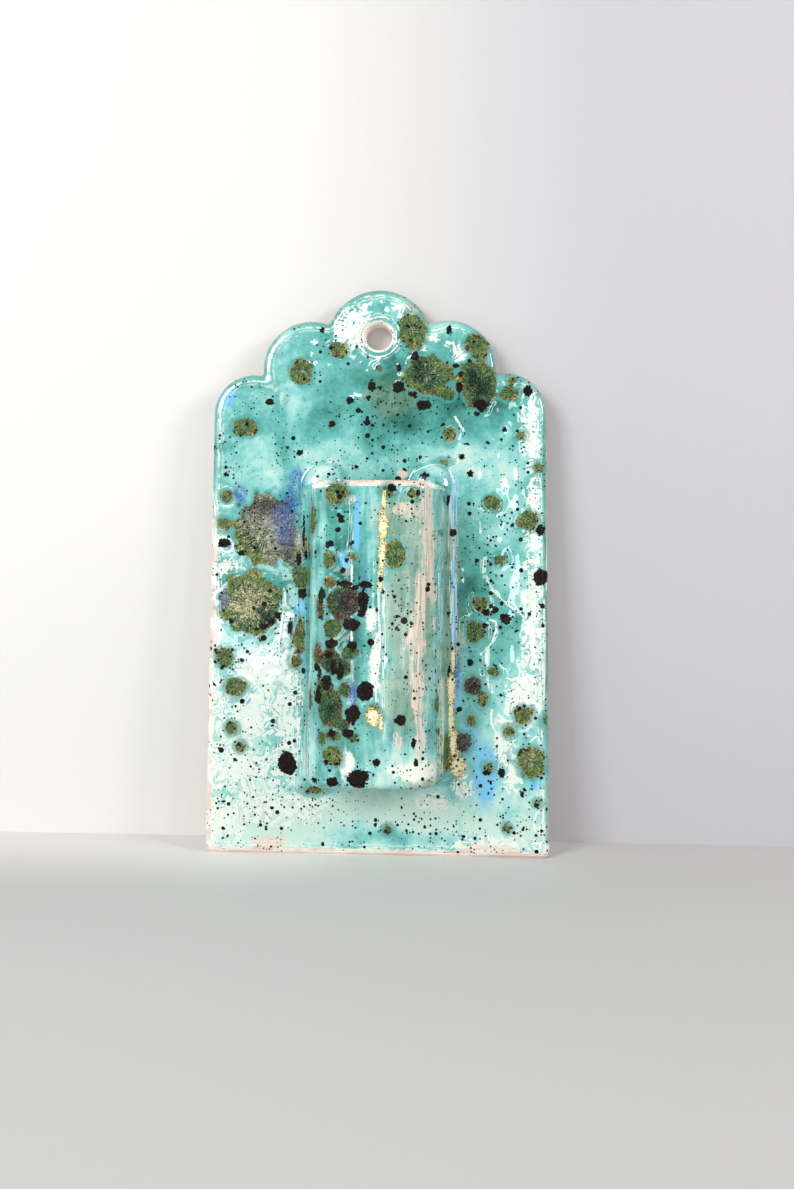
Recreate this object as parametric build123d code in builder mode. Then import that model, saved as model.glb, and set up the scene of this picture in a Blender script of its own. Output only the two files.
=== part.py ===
from build123d import *
import os

# Hanging wall vase: a slab-built ceramic plaque with a scalloped top and a flower pocket on its front.
# Millimetres, +Z up. The origin is on the axis of the hanging hole, in the plane of the wall behind.
# The front faces -Y and +X is on the viewer's right. Clay sizes are bare; the glaze lies on top.

os.makedirs("parts", exist_ok=True)

# Back plate, a flat slab with five lobes along its top
plate_width = 130.8
plate_thickness = 6.4
hole_to_foot = 201.2
plate_edge_bevel = 1.2
foot_corner_radius = 2.2
notch_radius = 1.2
top_lobe_radius = 20.5
top_lobe_drop = 1.8
side_lobe_radius = 18.4
side_lobe_reach = 27.4
side_lobe_drop = 12.3
shoulder_lobe_radius = 15.3
shoulder_lobe_drop = 30.7

# Hanging hole
hole_radius = 5.3
hole_lip_bevel = 0.9

# Pocket, one slab bent round three sides and set on the plate, with a floor slab inside it
rim_drop = 60.6
pocket_height = 110.2
pocket_wall_thickness = 4.4
pocket_floor_thickness = 5.0
pocket_back_width = 53.0
pocket_front_width = 43.4
pocket_depth = 25.0
pocket_front_bulge = 1.6
pocket_corner_radius = 7.4
rim_bevel = 1.3
pocket_base_bevel = 1.1

# Coils of clay pressed into the seams and cut flat, measured along each face of the seam
seam_coil_leg = 2.8
floor_coil_leg = 1.4

# Glaze coat: its thickness, the rounds it runs to, and the clay it leaves bare
glaze_thickness = 0.6
plate_edge_round = 2.6
hole_lip_round = 2.0
rim_round = 2.5
pocket_base_round = 2.4
seam_round = 3.8
bare_foot_height = 1.2
bare_back_depth = 1.6
bare_hole_margin = 0.5
lining_rim_margin = 4.0
pocket_glaze_margin = 7.0

# Reach of a cut past the material it cuts, and how near two levels must be to count as one
overrun = 10.0
level_tolerance = 0.01

# The largest bevel or round that a slab's edge takes, as a share of the slab's thickness
edge_share = 0.46

rim_level = -rim_drop
pocket_bottom = rim_level - pocket_height
floor_top = pocket_bottom + pocket_floor_thickness
foot_level = -hole_to_foot
front_plane = Plane.XZ.offset(plate_thickness)
back_half = pocket_back_width / 2
front_half = pocket_front_width / 2
base_bevel = min(pocket_base_bevel, edge_share * pocket_wall_thickness)


def soften(edges, bevel, rounding, thickness, grow):
    """Bare clay takes a bevel along its edges and its coils, and the glaze over them runs to a round."""
    limit = edge_share * thickness
    if grow:
        fillet(edges, min(rounding, limit))
    else:
        chamfer(edges, min(bevel, limit))


def plate_slab(grow):
    """The scalloped plate with its hole, every face but the back moved out by grow."""
    shoulder_reach = plate_width / 2 - shoulder_lobe_radius
    side_height = hole_to_foot + grow - shoulder_lobe_drop
    with BuildPart(mode=Mode.PRIVATE) as slab:
        with BuildSketch(Plane.XZ):
            with Locations((0, -shoulder_lobe_drop)):
                Rectangle(plate_width + 2 * grow, side_height, align=(Align.CENTER, Align.MAX))
            Polygon(
                (-shoulder_reach, -shoulder_lobe_drop),
                (shoulder_reach, -shoulder_lobe_drop),
                (side_lobe_reach, -side_lobe_drop),
                (0, -top_lobe_drop),
                (-side_lobe_reach, -side_lobe_drop),
                align=None,
            )
            with Locations((0, -top_lobe_drop)):
                Circle(top_lobe_radius + grow)
            with Locations((side_lobe_reach, -side_lobe_drop), (-side_lobe_reach, -side_lobe_drop)):
                Circle(side_lobe_radius + grow)
            with Locations((shoulder_reach, -shoulder_lobe_drop), (-shoulder_reach, -shoulder_lobe_drop)):
                Circle(shoulder_lobe_radius + grow)
        extrude(amount=plate_thickness + grow)
        foot_corners = slab.edges().filter_by(Axis.Y).group_by(Axis.Z)[0]
        fillet(foot_corners, foot_corner_radius + grow)
        notches = slab.edges().filter_by(Axis.Y).filter_by_position(
            Axis.Z, level_tolerance - shoulder_lobe_drop, top_lobe_radius
        )
        fillet(notches, notch_radius)
        with BuildSketch(Plane.XZ):
            Circle(hole_radius - grow)
        extrude(amount=plate_thickness + grow, mode=Mode.SUBTRACT)
        front_face = slab.faces().sort_by(Axis.Y)[0]
        outline_edges = front_face.outer_wire().edges()
        lip_edges = front_face.inner_wires()[0].edges()
        soften(lip_edges, hole_lip_bevel, hole_lip_round, plate_thickness + grow, grow)
        soften(outline_edges, plate_edge_bevel, plate_edge_round, plate_thickness + grow, grow)
    return slab.part


def pocket_block(low, high, grow):
    """The solid form of the pocket between two levels, its sides moved out by grow."""
    front = -(plate_thickness + pocket_depth)
    half_on_wall = back_half + (back_half - front_half) * plate_thickness / pocket_depth
    with BuildPart(mode=Mode.PRIVATE) as block:
        with BuildSketch(Plane.XY.offset(low)) as section:
            with BuildLine():
                ThreePointArc((-front_half, front), (0, front - pocket_front_bulge), (front_half, front))
                Polyline((front_half, front), (half_on_wall, 0), (-half_on_wall, 0), (-front_half, front))
            make_face()
            fillet(section.vertices().group_by(Axis.Y)[0], pocket_corner_radius)
            if grow:
                offset(amount=grow, mode=Mode.REPLACE)
        extrude(amount=high - low)
    return block.part


def bent_wall(grow):
    """The slab bent round the pocket's sides and front, open behind and below, moved out by grow."""
    glazed_thickness = pocket_wall_thickness + 2 * grow
    with BuildPart(mode=Mode.PRIVATE) as wall:
        add(pocket_block(pocket_bottom - grow, rim_level + grow, grow))
        split(bisect_by=front_plane.offset(grow), keep=Keep.TOP)
        base_edges = wall.faces().sort_by(Axis.Z)[0].edges().filter_by(Axis.X, reverse=True)
        soften(base_edges, base_bevel, pocket_base_round, glazed_thickness, grow)
        add(
            pocket_block(pocket_bottom - overrun, rim_level + overrun, -pocket_wall_thickness - grow),
            mode=Mode.SUBTRACT,
        )
        rim_edges = wall.faces().sort_by(Axis.Z)[-1].edges().filter_by(Axis.X, reverse=True)
        soften(rim_edges, rim_bevel, rim_round, glazed_thickness, grow)
    return wall.part


def floor_slab(wall, grow):
    """The floor, cut to the inside of the bent wall and moved out by grow."""
    with BuildPart(mode=Mode.PRIVATE) as slab:
        add(pocket_block(pocket_bottom - grow, floor_top + grow, -pocket_wall_thickness / 2))
        split(bisect_by=front_plane.offset(grow), keep=Keep.TOP)
        add(wall, mode=Mode.SUBTRACT)
    return slab.part


def blended_body(grow):
    """Plate, wall and floor joined, with every seam between them filled."""
    front = -(plate_thickness + grow)
    margin = 2 * grow + level_tolerance
    floor_level = floor_top + grow
    wall = bent_wall(grow)
    with BuildPart(mode=Mode.PRIVATE) as body:
        add(plate_slab(grow))
        add(wall)
        add(floor_slab(wall, grow))
        pocket_outline = (
            body.edges()
            .filter_by_position(Axis.Y, front - level_tolerance, front + level_tolerance)
            .filter_by_position(Axis.Z, pocket_bottom - margin, rim_level + margin)
            .filter_by_position(Axis.X, -back_half - margin, back_half + margin)
        )
        floor_line = pocket_outline.filter_by_position(
            Axis.Z, floor_level - level_tolerance, floor_level + level_tolerance
        )
        soften(pocket_outline - floor_line, seam_coil_leg, seam_round, pocket_depth, grow)
        floor_ring = body.edges().filter_by_position(
            Axis.Z, floor_level - level_tolerance, floor_level + level_tolerance
        )
        chamfer(floor_ring, floor_coil_leg)
    return body.part


# Back plate
with BuildPart() as back_plate:
    add(plate_slab(0))
back_plate.part.label = "back_plate"
export_step(back_plate.part, "parts/back_plate.step")

# Pocket wall, bent from one slab
with BuildPart() as pocket_wall:
    add(bent_wall(0))
pocket_wall.part.label = "pocket_wall"
export_step(pocket_wall.part, "parts/pocket_wall.step")

# Pocket floor, a small slab let in between the wall and the plate
with BuildPart() as pocket_floor:
    add(floor_slab(pocket_wall.part, 0))
pocket_floor.part.label = "pocket_floor"
export_step(pocket_floor.part, "parts/pocket_floor.step")

# What the seams hold once the three slabs are taken away is the coils
clay_body = blended_body(0)
with BuildPart() as all_coils:
    add(clay_body)
    add(back_plate.part, mode=Mode.SUBTRACT)
    add(pocket_wall.part, mode=Mode.SUBTRACT)
    add(pocket_floor.part, mode=Mode.SUBTRACT)

# The coil round the inside of the floor
floor_zone = pocket_block(pocket_bottom, floor_top + floor_coil_leg, -pocket_wall_thickness / 2)
with BuildPart() as floor_coil:
    add(all_coils.part)
    add(floor_zone, mode=Mode.INTERSECT)
floor_coil.part.label = "floor_coil"
export_step(floor_coil.part, "parts/floor_coil.step")

# The coil along the underside of the pocket
with BuildPart() as seam_coil_base:
    add(all_coils.part)
    split(bisect_by=Plane.XY.offset(pocket_bottom + base_bevel), keep=Keep.BOTTOM)
seam_coil_base.part.label = "seam_coil_base"
export_step(seam_coil_base.part, "parts/seam_coil_base.step")

# Each side coil runs up outside the wall, over its end and down inside
with BuildPart() as side_coils:
    add(all_coils.part)
    add(floor_zone, mode=Mode.SUBTRACT)
    split(bisect_by=Plane.XY.offset(pocket_bottom + base_bevel), keep=Keep.TOP)
with BuildPart() as seam_coil_left:
    add(side_coils.part)
    split(bisect_by=Plane.YZ, keep=Keep.BOTTOM)
seam_coil_left.part.label = "seam_coil_left"
export_step(seam_coil_left.part, "parts/seam_coil_left.step")

with BuildPart() as seam_coil_right:
    add(side_coils.part)
    split(bisect_by=Plane.YZ, keep=Keep.TOP)
seam_coil_right.part.label = "seam_coil_right"
export_step(seam_coil_right.part, "parts/seam_coil_right.step")

# The glaze coat is the blended body moved out by its thickness, less the clay and the bare places
with BuildPart() as glaze_coat:
    add(blended_body(glaze_thickness))
    add(clay_body, mode=Mode.SUBTRACT)
    split(bisect_by=Plane.XZ.offset(bare_back_depth), keep=Keep.TOP)
    split(bisect_by=Plane.XY.offset(foot_level + bare_foot_height), keep=Keep.TOP)
    with BuildSketch(Plane.XZ):
        Circle(hole_radius + bare_hole_margin)
    extrude(amount=plate_thickness + overrun, mode=Mode.SUBTRACT)

lining_zone = pocket_block(pocket_bottom, rim_level - lining_rim_margin, -pocket_wall_thickness / 2)
pocket_zone = pocket_block(
    pocket_bottom - pocket_glaze_margin,
    rim_level + pocket_glaze_margin,
    pocket_glaze_margin,
)

# Glaze lining of the pocket
with BuildPart() as lining_glaze:
    add(glaze_coat.part)
    add(lining_zone, mode=Mode.INTERSECT)
lining_glaze.part.label = "lining_glaze"
export_step(lining_glaze.part, "parts/lining_glaze.step")

# Glaze over the outside of the pocket, its rim and its seams
with BuildPart() as pocket_glaze:
    add(glaze_coat.part)
    add(lining_zone, mode=Mode.SUBTRACT)
    add(pocket_zone, mode=Mode.INTERSECT)
pocket_glaze.part.label = "pocket_glaze"
export_step(pocket_glaze.part, "parts/pocket_glaze.step")

# Glaze over the face and the edges of the plate
with BuildPart() as plate_glaze:
    add(glaze_coat.part)
    add(lining_zone, mode=Mode.SUBTRACT)
    add(pocket_zone, mode=Mode.SUBTRACT)
plate_glaze.part.label = "plate_glaze"
export_step(plate_glaze.part, "parts/plate_glaze.step")
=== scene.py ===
"""Looks of the hanging wall vase: a scalloped ceramic plaque with a flower pocket, under a speckled glaze.

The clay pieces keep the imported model's shape. The three glaze coats are remade as one smooth skin, from a
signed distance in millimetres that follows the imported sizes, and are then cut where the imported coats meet.
"""
import math

import bpy
import numpy as np
from mathutils import Matrix, Vector


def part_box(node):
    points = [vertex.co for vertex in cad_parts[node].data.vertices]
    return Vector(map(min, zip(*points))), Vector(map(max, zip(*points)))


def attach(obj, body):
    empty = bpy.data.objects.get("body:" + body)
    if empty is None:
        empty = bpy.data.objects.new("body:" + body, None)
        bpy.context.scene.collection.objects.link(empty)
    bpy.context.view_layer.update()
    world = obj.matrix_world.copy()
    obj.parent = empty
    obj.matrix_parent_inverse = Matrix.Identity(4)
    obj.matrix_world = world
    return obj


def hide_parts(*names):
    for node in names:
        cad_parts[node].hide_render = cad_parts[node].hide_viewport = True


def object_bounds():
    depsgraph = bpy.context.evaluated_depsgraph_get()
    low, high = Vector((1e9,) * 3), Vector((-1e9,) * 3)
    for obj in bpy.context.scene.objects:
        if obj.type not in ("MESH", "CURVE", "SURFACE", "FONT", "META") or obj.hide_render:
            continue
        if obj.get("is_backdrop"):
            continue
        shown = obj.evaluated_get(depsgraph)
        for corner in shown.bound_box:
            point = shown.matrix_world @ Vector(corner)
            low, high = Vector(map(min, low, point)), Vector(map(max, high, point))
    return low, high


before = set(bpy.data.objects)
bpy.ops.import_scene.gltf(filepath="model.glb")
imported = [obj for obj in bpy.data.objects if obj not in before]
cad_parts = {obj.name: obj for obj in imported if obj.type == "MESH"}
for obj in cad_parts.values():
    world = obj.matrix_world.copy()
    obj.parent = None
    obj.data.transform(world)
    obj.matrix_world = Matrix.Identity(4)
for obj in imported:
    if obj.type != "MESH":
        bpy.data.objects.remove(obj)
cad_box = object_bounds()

MM = 0.001


def corners_mm(node):
    """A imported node's lowest and highest corners in millimetres."""
    low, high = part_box(node)
    return np.array(low) / MM, np.array(high) / MM


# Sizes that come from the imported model
plate_low, plate_high = corners_mm("plate_glaze")
pocket_low = corners_mm("pocket_glaze")[0]
wall_low, wall_high = corners_mm("pocket_wall")
floor_high = corners_mm("pocket_floor")[1]
clay_low = corners_mm("back_plate")[0]
GLAZE = clay_low[1] - plate_low[1]
PLATE_HALF = plate_high[0]
PLATE_FRONT = plate_low[1]
PLATE_TOP = plate_high[2]
FOOT = clay_low[2]
GLAZE_FOOT = plate_low[2]
GLAZE_BACK = plate_high[1]
RIM = wall_high[2] + GLAZE
BASE = wall_low[2] - GLAZE
POCKET_FRONT = pocket_low[1]
FLOOR_TOP = floor_high[2] + GLAZE

# The plaque's outline, glaze included
TOP_LOBE = 21.1
TOP_LOBE_DROP = 1.8
SIDE_LOBE = 19.0
SIDE_LOBE_REACH = 27.4
SIDE_LOBE_DROP = 12.3
SHOULDER_LOBE = 15.9
SHOULDER_DROP = 30.7
FOOT_CORNER = 2.8
NOTCH_ROUND = 1.4
PLATE_ROUND = 2.8
HOLE = 5.22
HOLE_ROUND = 2.3

# The pocket, glaze included
WALL = 5.6
POCKET_BACK_HALF = 27.1
POCKET_TAPER = 0.192
FRONT_BULGE_RADIUS = 148.5
POCKET_CORNER = 6.3
POCKET_INNER_CORNER = 1.9
RIM_ROUND = 2.6
POCKET_BASE_ROUND = 2.4
FLOOR_ROUND = 1.6
SEAM_ROUND = 3.8

# The smear of clay that arches over each end of the pocket's wall
ARCH_REACH = 21.0
ARCH_HALF = 8.2
ARCH_TOP = -51.6
ARCH_STAND = 4.2
ARCH_ROUND = 1.5

# The skin's mesh and its thickness, and how far the glaze's edge sinks to the clay
STEP = 0.7
SKIN = 0.45
EDGE_SINK = 0.2

# Where the coats end: in the hole, under the rim's inside, and round the pocket
HOLE_GLAZE_DEPTH = 3.6
LINING_DROP = 4.6
APRON = 6.4

# The noise's lattice points along each axis
LATTICE = 32


# Distances, in millimetres

def meet(a, b, radius):
    """The distance of what lies in both shapes, with the edge between them rounded."""
    outside = np.hypot(np.maximum(a + radius, 0), np.maximum(b + radius, 0))
    return np.minimum(-radius, np.maximum(a, b)) + outside


def join(a, b, radius):
    """The distance of two shapes joined by a fillet."""
    inside = np.hypot(np.maximum(radius - a, 0), np.maximum(radius - b, 0))
    return np.maximum(radius, np.minimum(a, b)) - inside


def blend_step(x, low, high):
    """0 below low, 1 above high, and smooth between."""
    t = np.clip((x - low) / (high - low), 0, 1)
    return t * t * (3 - 2 * t)


def outline_distance(x, z):
    """Distance from the plaque's outline, less than zero inside."""
    x = np.abs(x)
    shoulder = PLATE_HALF - SHOULDER_LOBE
    middle = (FOOT - SHOULDER_DROP) / 2
    half_height = -(FOOT + SHOULDER_DROP) / 2
    dx = x - PLATE_HALF + FOOT_CORNER
    dz = np.abs(z - middle) - half_height + FOOT_CORNER
    slab = np.hypot(np.maximum(dx, 0), np.maximum(dz, 0)) + np.minimum(np.maximum(dx, dz), 0) - FOOT_CORNER
    slope_a = (TOP_LOBE_DROP - SIDE_LOBE_DROP) / SIDE_LOBE_REACH
    slope_b = (SIDE_LOBE_DROP - SHOULDER_DROP) / (shoulder - SIDE_LOBE_REACH)
    roof_a = (z + TOP_LOBE_DROP - slope_a * x) / math.hypot(1, slope_a)
    roof_b = (z + SIDE_LOBE_DROP - slope_b * (x - SIDE_LOBE_REACH)) / math.hypot(1, slope_b)
    gable = np.maximum(np.maximum(roof_a, roof_b), np.maximum(middle - z, x - shoulder))
    top = np.hypot(x, z + TOP_LOBE_DROP) - TOP_LOBE
    side = np.hypot(x - SIDE_LOBE_REACH, z + SIDE_LOBE_DROP) - SIDE_LOBE
    corner = np.hypot(x - shoulder, z + SHOULDER_DROP) - SHOULDER_LOBE
    lobes = join(join(top, side, NOTCH_ROUND), corner, NOTCH_ROUND)
    return np.minimum(np.minimum(lobes, slab), gable)


def plate_distance(x, y, z):
    """The plaque with its hole, its front edges rounded."""
    sheet = meet(outline_distance(x, z), PLATE_FRONT - y, PLATE_ROUND)
    bored = meet(sheet, HOLE - np.hypot(x, z), HOLE_ROUND)
    return np.maximum(bored, y)


def section_distance(x, y, radius, inset):
    """The pocket's outline from above, moved in by inset."""
    lean = math.hypot(1, POCKET_TAPER)
    side = (np.abs(x) - POCKET_BACK_HALF - POCKET_TAPER * (y - PLATE_FRONT)) / lean + inset
    centre = POCKET_FRONT + FRONT_BULGE_RADIUS
    front = np.hypot(x, y - centre) - FRONT_BULGE_RADIUS + inset
    return meet(side, front, radius)


def pocket_distance(x, y, z):
    """The pocket: walls on three sides and a floor."""
    outside = meet(section_distance(x, y, POCKET_CORNER, 0), BASE - z, POCKET_BASE_ROUND)
    inner = section_distance(x, y, POCKET_INNER_CORNER, WALL)
    cavity = meet(inner, FLOOR_TOP - z, FLOOR_ROUND)
    return meet(np.maximum(outside, -cavity), z - RIM, RIM_ROUND)


def arch_distance(x, y, z):
    """The two smears of clay, each an upright ellipsoid half sunk in the plaque."""
    sizes = np.array([ARCH_HALF, ARCH_STAND, ARCH_TOP - RIM])
    place = np.stack([np.abs(x) - ARCH_REACH, y - PLATE_FRONT, z - RIM], axis=-1) / sizes
    share = np.linalg.norm(place, axis=-1)
    return share * (share - 1) / np.maximum(np.linalg.norm(place / sizes, axis=-1), 1e-6)


def body_distance(p):
    """The whole glazed body."""
    x, y, z = p[..., 0], p[..., 1], p[..., 2]
    body = join(plate_distance(x, y, z), pocket_distance(x, y, z), SEAM_ROUND)
    return join(body, arch_distance(x, y, z), ARCH_ROUND)


def gradient(distance, p, reach=0.05):
    """Unit normals of a distance at points p."""
    out = np.empty_like(p)
    for axis in range(3):
        nudge = np.zeros(3)
        nudge[axis] = reach
        out[..., axis] = distance(p + nudge) - distance(p - nudge)
    return out / np.maximum(np.linalg.norm(out, axis=-1, keepdims=True), 1e-9)


# The skin's mesh

def surface_net(distance, low, high, step):
    """Points and quads where the distance is zero: one point to each grid cell that the surface crosses."""
    axes = [np.arange(a, b + step, step) for a, b in zip(low, high)]
    grid = np.stack(np.meshgrid(*axes, indexing="ij"), axis=-1)
    value = distance(grid)
    inside = value < 0
    shape = np.array(value.shape) - 1
    total = np.zeros((*shape, 3))
    count = np.zeros(shape, int)
    for axis in range(3):
        others = [a for a in range(3) if a != axis]
        for ends in np.ndindex(2, 2):
            near, far = [None] * 3, [None] * 3
            near[axis], far[axis] = slice(0, shape[axis]), slice(1, shape[axis] + 1)
            for other, k in zip(others, ends):
                near[other] = far[other] = slice(k, shape[other] + k)
            near, far = tuple(near), tuple(far)
            crossed = inside[near] != inside[far]
            a, b = value[near][crossed], value[far][crossed]
            share = (a / (a - b))[:, None]
            total[crossed] += grid[near][crossed] * (1 - share) + grid[far][crossed] * share
            count[crossed] += 1
    used = count > 0
    points = total[used] / count[used][:, None]
    index = np.full(count.shape, -1)
    index[used] = np.arange(len(points))
    quads = []
    for axis in range(3):
        u, v = [a for a in range(3) if a != axis]
        near = [slice(1, n) for n in shape]
        far = list(near)
        near[axis], far[axis] = slice(0, shape[axis]), slice(1, shape[axis] + 1)
        rising = inside[tuple(near)]
        crossed = rising != inside[tuple(far)]
        where = np.argwhere(crossed)
        ring = []
        for du, dv in ((0, 0), (1, 0), (1, 1), (0, 1)):
            at = where.copy()
            at[:, u] += du
            at[:, v] += dv
            ring.append(index[tuple(at.T)])
        ring = np.stack(ring, axis=1)
        turned = rising[crossed] ^ (axis == 1)
        ring[~turned] = ring[~turned][:, ::-1]
        quads.append(ring)
    return points, np.concatenate(quads)


def sums(index, vectors, count):
    """The sum of the vectors at each index."""
    return np.stack([np.bincount(index, vectors[:, axis], count) for axis in range(3)], axis=1)


def settle(points, quads, distance, rounds):
    """Evens out the points' spacing and puts them back on the surface."""
    edges = np.concatenate([quads[:, [k, (k + 1) % 4]] for k in range(4)])
    first, last = edges.T
    count = np.bincount(edges.ravel(), minlength=len(points))[:, None]
    for _ in range(rounds):
        total = sums(first, points[last], len(points)) + sums(last, points[first], len(points))
        points = points + 0.5 * (total / count - points)
        for _ in range(2):
            points = points - distance(points)[:, None] * gradient(distance, points)
    return points


def noise(p, size, seed):
    """Smooth noise from -1 to 1, its lumps size millimetres apart. size may hold one value to each axis."""
    lattice = np.random.default_rng(seed).uniform(-1, 1, (LATTICE, LATTICE, LATTICE))
    q = p / size
    cell = np.floor(q).astype(int)
    t = q - cell
    t = t * t * (3 - 2 * t)
    total = 0
    for corner in np.ndindex(2, 2, 2):
        weight = np.prod(np.abs(1 - np.array(corner) - t), axis=-1)
        at = (cell + corner) % LATTICE
        total = total + weight * lattice[at[..., 0], at[..., 1], at[..., 2]]
    return total


def bare_side(p):
    """Above zero where the clay is left bare: the back, the foot and the hole's inside."""
    wobble = 0.35 * noise(p, 9.0, 3)
    back = p[:, 1] - GLAZE_BACK + 0.5 * wobble
    foot = GLAZE_FOOT + 0.25 - p[:, 2] + wobble
    near_hole = np.hypot(p[:, 0], p[:, 2]) < HOLE + HOLE_ROUND
    hole = np.where(near_hole, p[:, 1] + HOLE_GLAZE_DEPTH + 0.5 * wobble, -99)
    return np.maximum(np.maximum(back, foot), hole)


def lining_side(p):
    """Below zero inside the pocket."""
    section = section_distance(p[:, 0], p[:, 1], POCKET_CORNER, WALL / 2)
    return np.maximum(section, np.maximum(p[:, 2] - (RIM - LINING_DROP), BASE + GLAZE - p[:, 2]))


def pocket_side(p):
    """Below zero on the pocket and round it."""
    section = section_distance(p[:, 0], p[:, 1], POCKET_CORNER, -APRON)
    return np.maximum(section, np.maximum(p[:, 2] - RIM - APRON, BASE - APRON - p[:, 2]))


def snap(points, quads, side, rounds=3):
    """Moves the points between the two sides of a line onto it, along the surface.

    Returns which quads are past the line.
    """
    past = side(points[quads].mean(axis=1)) > 0
    touched = [np.zeros(len(points), bool) for _ in (0, 1)]
    for flag, at in zip((False, True), touched):
        at[quads[past == flag].ravel()] = True
    line = touched[0] & touched[1]
    p = points[line]
    for _ in range(rounds):
        normal = gradient(body_distance, p)
        slope = np.stack([side(p + e) - side(p - e) for e in 0.05 * np.eye(3)], axis=-1) / 0.1
        slope -= (slope * normal).sum(-1, keepdims=True) * normal
        steep = np.maximum((slope * slope).sum(-1, keepdims=True), 0.2)
        move = -side(p)[:, None] * slope / steep
        far = np.maximum(np.linalg.norm(move, axis=-1, keepdims=True) / STEP, 1)
        p = p + move / far
        p = p - body_distance(p)[:, None] * gradient(body_distance, p)
    points[line] = p
    return past


# The camera

FRAME_SIZE = (794, 1189)
FOCAL_PIXELS = 1000
PRINCIPAL = (397, 503)
CAMERA_PLACE = np.array([30.0, -396.0, -100.0])
CAMERA_AHEAD = np.array([-0.0573, 0.9947, 0.0857])
CAMERA_RIGHT = np.array([0.9983, 0.0571, 0.0045])
SENSOR = 36.0
CLIP_START = 0.01
# A ray to the vase starts this far from the camera, and is followed in so many steps
CAST_START = 330.0
CAST_STEPS = 80

ahead = CAMERA_AHEAD / np.linalg.norm(CAMERA_AHEAD)
right = CAMERA_RIGHT - ahead * (CAMERA_RIGHT @ ahead)
right /= np.linalg.norm(right)
down = np.cross(ahead, right)


def pixel_rays(pixels):
    """Directions from the camera through pixels of the photograph."""
    across = (pixels[:, 0] - PRINCIPAL[0]) / FOCAL_PIXELS
    along = (pixels[:, 1] - PRINCIPAL[1]) / FOCAL_PIXELS
    rays = ahead + across[:, None] * right + along[:, None] * down
    return rays / np.linalg.norm(rays, axis=1, keepdims=True)


def cast(pixels):
    """Where the camera's rays through some pixels meet the vase."""
    rays = pixel_rays(np.array(pixels, float))
    reach = np.full(len(rays), CAST_START)
    for _ in range(CAST_STEPS):
        reach += 0.8 * np.clip(body_distance(CAMERA_PLACE + rays * reach[:, None]), -2, 20)
    return CAMERA_PLACE + rays * reach[:, None]


def add_object(name, data):
    """A new object in the scene."""
    made = bpy.data.objects.new(name, data)
    bpy.context.scene.collection.objects.link(made)
    return made


def make_camera():
    data = bpy.data.cameras.new("camera")
    data.sensor_width = SENSOR
    data.lens = FOCAL_PIXELS / FRAME_SIZE[1] * SENSOR
    data.shift_y = (PRINCIPAL[1] - FRAME_SIZE[1] / 2) / FRAME_SIZE[1]
    data.clip_start = CLIP_START
    camera = add_object("camera", data)
    turn = Matrix((right, -down, -ahead)).transposed()
    camera.matrix_world = Matrix.Translation(Vector(CAMERA_PLACE * MM)) @ turn.to_4x4()
    bpy.context.scene.camera = camera


# Marks in the glaze

# Places and half sizes in pixels of the photograph: x, y, half width, half height
OLIVE_BLOOMS = (
    (413, 331, 14, 18), (427, 374, 23, 20), (478, 384, 18, 25), (472, 343, 8, 9), (480, 350, 8, 14),
    (449, 393, 7, 7), (510, 393, 9, 8), (512, 381, 7, 4), (450, 434, 7, 8), (521, 436, 5, 5),
    (379, 368, 4, 4), (493, 503, 9, 8), (527, 520, 11, 9), (539, 468, 4, 5), (444, 462, 5, 3),
    (500, 560, 5, 5), (545, 719, 3, 5), (480, 604, 8, 8), (475, 630, 10, 10), (494, 672, 6, 5),
    (482, 698, 5, 9), (471, 720, 5, 6), (523, 715, 9, 9), (509, 731, 5, 5), (531, 760, 14, 16),
    (488, 768, 5, 4), (537, 803, 4, 3), (507, 828, 4, 4), (446, 752, 9, 20), (337, 493, 12, 11),
    (395, 554, 12, 14), (413, 494, 6, 6), (388, 491, 6, 6), (329, 560, 6, 8), (353, 557, 5, 5),
    (330, 582, 7, 6), (345, 603, 18, 16), (333, 628, 9, 9), (330, 661, 10, 14), (341, 668, 8, 8),
    (331, 708, 14, 18), (373, 715, 8, 9), (333, 756, 10, 9), (437, 705, 8, 9), (353, 738, 5, 5),
    (388, 830, 5, 4), (315, 790, 10, 4), (267, 528, 31, 36), (290, 545, 12, 22), (251, 604, 31, 30),
    (225, 657, 9, 9), (235, 686, 11, 10), (231, 727, 6, 6), (227, 496, 6, 6), (225, 524, 7, 7),
    (301, 576, 10, 12), (300, 637, 7, 17), (296, 662, 6, 6), (313, 519, 7, 16), (318, 655, 6, 12),
    (350, 652, 8, 7), (324, 690, 9, 12), (343, 724, 7, 6), (322, 738, 5, 8), (345, 690, 6, 7),
    (310, 700, 5, 12), (334, 735, 7, 5), (320, 610, 5, 10), (305, 545, 4, 14), (463, 742, 8, 10),
    (473, 686, 9, 10), (240, 747, 5, 5), (246, 428, 14, 10), (302, 372, 12, 13), (338, 350, 10, 8),
)
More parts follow.
